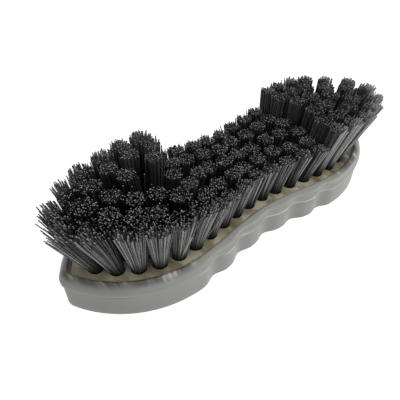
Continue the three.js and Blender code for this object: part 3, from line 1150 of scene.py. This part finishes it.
@dataclass
class Bristles:
    """All the tufts, made of single filaments that are set into the holes of the board."""

    stack: Stack
    tufts: Sequence[Tuft]
    filament_radius: float = 0.30 * MM
    filament_sides: int = 5
    root_radius: float = 3.15 * MM
    root_depth: float = 2 * MM
    bow: float = 0.12
    bow_scatter: float = 0.08
    stations: tuple[float, ...] = (0.0, 0.35, 0.7, 1.0)
    # How the painted side light grows as a filament faces out of its tuft.
    side_light_limits: Pair = (-0.4, 0.5)
    seed: int = 7
    wear: Wear = Wear()
    habits: dict[Zone, Habit] = field(default_factory=HABITS.copy)
    finish: Finish = Filament()

    def strand(self) -> tuple[np.ndarray, list[np.ndarray], np.ndarray]:
        """Models one straight filament of unit radius, whose z counts its stations.

        Returns:
            Its vertices, its faces, and for each face whether it is the cut end.
        """
        master = add_disc(self.filament_sides)
        bpy.ops.object.mode_set(mode="EDIT")
        bpy.ops.mesh.select_all(action="SELECT")
        for _ in self.stations:
            bpy.ops.mesh.extrude_region_move(TRANSFORM_OT_translate={"value": (0, 0, 1)})
        close_shape()
        vertices = np.array([vertex.co for vertex in master.data.vertices])
        faces = [np.array(face.vertices) for face in master.data.polygons]
        delete(master)
        stations = vertices[:, 2].round()
        ends = np.array([stations[face].min() == len(self.stations) for face in faces])
        return vertices, faces, ends

    def tip(self, tuft: Tuft) -> np.ndarray:
        """Middle of a tuft's tip, on the line that fans out from the brush and pushed over by use.

        Args:
            tuft: the tuft.

        Returns:
            Its place (x, y).
        """
        habit = self.habits[tuft.zone]
        along = tuft.x * (1 + tuft.length / habit.fan_along) + habit.lean_along
        lean = habit.lean_back if tuft.y > 0 else -habit.lean_front
        across = tuft.y * (1 + tuft.length / habit.fan_across) + lean
        return np.array([along, across]) + self.wear.push(tuft)

    def disc(self, count: int, chance: np.random.Generator) -> np.ndarray:
        """Even places of filaments in a disc of unit radius, turned by chance, as rows (x, y)."""
        index = np.arange(count)
        angle = index * GOLDEN_ANGLE + chance.uniform(0, 2 * math.pi)
        radius = np.sqrt((index + 0.5) / count)
        return np.column_stack([radius * np.cos(angle), radius * np.sin(angle)])

    def side_light(self, tuft: Tuft, even: np.ndarray) -> np.ndarray:
        """Painted side light of each filament of a tuft: most where it faces out of the outer row.

        Args:
            tuft: the tuft.
            even: places of its filaments in the unit disc.

        Returns:
            The painted side light of each filament, between the least and the most of its zone.
        """
        habit = self.habits[tuft.zone]
        if not tuft.outer:
            return np.full(len(even), habit.least_side_light)
        outwards = self.tip(tuft) - np.array([tuft.x, tuft.y])
        facing = even @ (outwards / np.linalg.norm(outwards))
        most = habit.most_side_light * (self.wear.back_side_light if tuft.y > 0 else 1.0)
        return np.interp(facing, self.side_light_limits, (habit.least_side_light, most))

    def centrelines(self, tuft: Tuft, even: np.ndarray, chance: np.random.Generator) -> np.ndarray:
        """Runs the centrelines of a tuft's filaments from their roots to their tips.

        Args:
            tuft: the tuft.
            even: places of its filaments in the unit disc.
            chance: source of the scatter.

        Returns:
            Places, indexed by filament, station and axis.
        """
        habit = self.habits[tuft.zone]
        foot = np.array([tuft.x, tuft.y]) + even * self.root_radius
        scatter = chance.normal(0, habit.scatter, even.shape)
        stray = chance.random(habit.filaments) < habit.stray_share
        scatter[stray] += chance.uniform(-1, 1, (stray.sum(), 2)) * habit.stray_reach
        lean = chance.normal(0, habit.lean_scatter, 2)
        tip = self.tip(tuft) + lean + even * habit.tip_radius * self.wear.spread(tuft) + scatter
        length = tuft.length + chance.normal(0, habit.length_scatter, habit.filaments)
        bow = chance.normal(self.bow, self.bow_scatter, habit.filaments)
        lines = np.empty((habit.filaments, len(self.stations) + 1, 3))
        lines[:, 0, :2] = foot
        lines[:, 0, 2] = self.stack.face - self.root_depth
        for station, share in enumerate(self.stations, start=1):
            bent = share - bow * share * (1 - share)
            lines[:, station, :2] = foot + (tip - foot) * bent[:, None]
            lines[:, station, 2] = self.stack.face + length * share
        return lines

    def build(self, zone: Zone) -> Piece:
        """Models the tufts of one zone as one piece, and hides the node that they stand for.

        Args:
            zone: the zone.

        Returns:
            The new piece.
        """
        vertices, faces, ends = self.strand()
        chance = np.random.default_rng([self.seed, list(Zone).index(zone)])
        groups = []
        side_lights = []
        for tuft in self.tufts:
            if tuft.zone is zone:
                even = self.disc(self.habits[zone].filaments, chance)
                groups.append(self.centrelines(tuft, even, chance))
                side_lights.append(self.side_light(tuft, even))
        lines = np.concatenate(groups)
        places = lines[:, vertices[:, 2].round().astype(int)]
        places[:, :, :2] += vertices[:, :2] * self.filament_radius
        offsets = np.arange(len(lines)) * len(vertices)
        polygons = [(face + offset).tolist() for offset in offsets for face in faces]
        mesh = bpy.data.meshes.new(f"{zone.name.lower()}_tufts")
        mesh.from_pydata(places.reshape(-1, 3).tolist(), [], polygons)
        mark(mesh, "cut", "FACE", np.tile(ends, len(lines)))
        mark(mesh, "tone", "POINT", np.repeat(chance.random(len(lines)), len(vertices)))
        # Painted side light of each filament.
        mark(mesh, "side_light", "POINT", np.repeat(np.concatenate(side_lights), len(vertices)))
        piece = bpy.data.objects.new(mesh.name, mesh)
        bpy.context.collection.objects.link(piece)
        smooth(piece, STRAND_CREASE)
        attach(piece, BODY)
        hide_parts(zone.value)
        return piece

    def dress(self, pieces: Sequence[Piece]) -> None:
        """Gives every group of tufts the same filament."""
        material = self.finish.material()
        for piece in pieces:
            piece.data.materials.append(material)


@dataclass(frozen=True)
class Softbox:
    """A wide area lamp that looks at the middle of the brush."""

    name: str
    place: Triple
    width: float
    height: float
    power: float

    def build(self) -> None:
        """Adds the lamp and turns it to the brush."""
        deselect_all()
        bpy.ops.object.light_add(type="AREA", location=self.place)
        lamp = bpy.context.active_object
        lamp.name = self.name
        lamp.data.shape = "RECTANGLE"
        lamp.data.size = self.width
        lamp.data.size_y = self.height
        lamp.data.energy = self.power
        lamp.rotation_euler = (-Vector(self.place)).to_track_quat("-Z", "Y").to_euler()


@dataclass(frozen=True)
class WhiteFloor(Finish):
    """Matt white floor that the camera sees as white, apart from the brush's soft shadow."""

    name: str = "white_floor"
    tone: Color = (0.85, 0.85, 0.85)
    roughness: float = 1.0
    specular: float = 0.0
    glow: float = 0.75

    def shade(self, bench: NodeBench) -> None:
        """Adds a glow that only lifts the floor in the picture and in reflections."""
        bench.surface(
            Base_Color=self.tone,
            Roughness=self.roughness,
            Specular_IOR_Level=self.specular,
            Emission_Color=bench.mix(bench.seen(), BLACK, WHITE),
            Emission_Strength=self.glow,
        )


@dataclass
class Studio:
    """White floor, soft lamps, pale surroundings and the camera."""

    floor_radius: float = 3.0
    floor_sides: int = 96
    ambient: float = 0.35
    eye: Triple = (-120.71 * MM, -121.67 * MM, 163.79 * MM)
    aim: Triple = (-9.13 * MM, 17.38 * MM, 0.0)
    lens: float = 37.56
    sensor: float = 36.0
    clip_start: float = 10 * MM
    lamps: tuple[Softbox, ...] = (
        Softbox("top_softbox", (0.2, -0.3, 1.0), width=1.0, height=1.0, power=3.1),
        Softbox("right_softbox", (0.75, -0.7, 0.15), width=0.9, height=0.26, power=3.35),
        Softbox("front_softbox", (-0.2, -0.95, 0.15), width=0.9, height=0.26, power=2.15),
    )
    finish: Finish = WhiteFloor()

    def build_floor(self) -> None:
        """Lays the floor that the brush lies on."""
        floor = add_disc(self.floor_sides, self.floor_radius)
        floor.name = "floor"
        floor.data.materials.append(self.finish.material())
        floor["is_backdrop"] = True

    def build_surroundings(self) -> None:
        """Surrounds the brush with even light that shows as white."""
        world = bpy.data.worlds.new("surroundings")
        world.use_nodes = True
        bpy.context.scene.world = world
        bench = NodeBench(world.node_tree)
        inputs = {"Color": WHITE, "Strength": self.ambient + bench.seen() * (1 - self.ambient)}
        shader = bench.node("ShaderNodeBackground", "Background", inputs)
        bench.node("ShaderNodeOutputWorld", None, {"Surface": shader})

    def build_camera(self) -> None:
        """Sets the camera to the photograph's viewing angle."""
        deselect_all()
        bpy.ops.object.camera_add(location=self.eye)
        camera = bpy.context.active_object
        sight = Vector(self.aim) - Vector(self.eye)
        camera.rotation_euler = sight.to_track_quat("-Z", "Y").to_euler()
        camera.data.lens = self.lens
        camera.data.sensor_width = self.sensor
        camera.data.clip_start = self.clip_start
        bpy.context.scene.camera = camera

    def build(self) -> None:
        """Builds the whole studio."""
        self.build_floor()
        self.build_surroundings()
        for lamp in self.lamps:
            lamp.build()
        self.build_camera()
        bpy.context.scene.view_settings.view_transform = "Standard"


def write_sizes() -> None:
    """Puts the box of the solids and the box of the finished pieces side by side."""
    boxes = {"cad": CAD_BOX, "visual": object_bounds()}
    plain = {name: [list(corner) for corner in box] for name, box in boxes.items()}


def main() -> None:
    """Builds and dresses every sub-assembly, and then the studio round it."""
    logging.basicConfig(level=logging.INFO, format="%(name)s: %(message)s")
    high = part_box("grip")[1]
    outline = Outline(half_length=high.x, lobe_half=high.y)
    stack = Stack()
    tufts = TuftLayout(outline).tufts()

    pieces = []
    for part in (Grip(outline, stack), TuftBoard(outline, stack, tufts)):
        pieces.append(part.build())
        part.dress(pieces[-1])
    bristles = Bristles(stack, tufts)
    groups = [bristles.build(zone) for zone in Zone]
    bristles.dress(groups)
    for piece in [*pieces, *groups]:
        LOG.info("%s: %d faces", piece.name, len(piece.data.polygons))

    Studio().build()
    write_sizes()


if __name__ == "__main__":
    main()
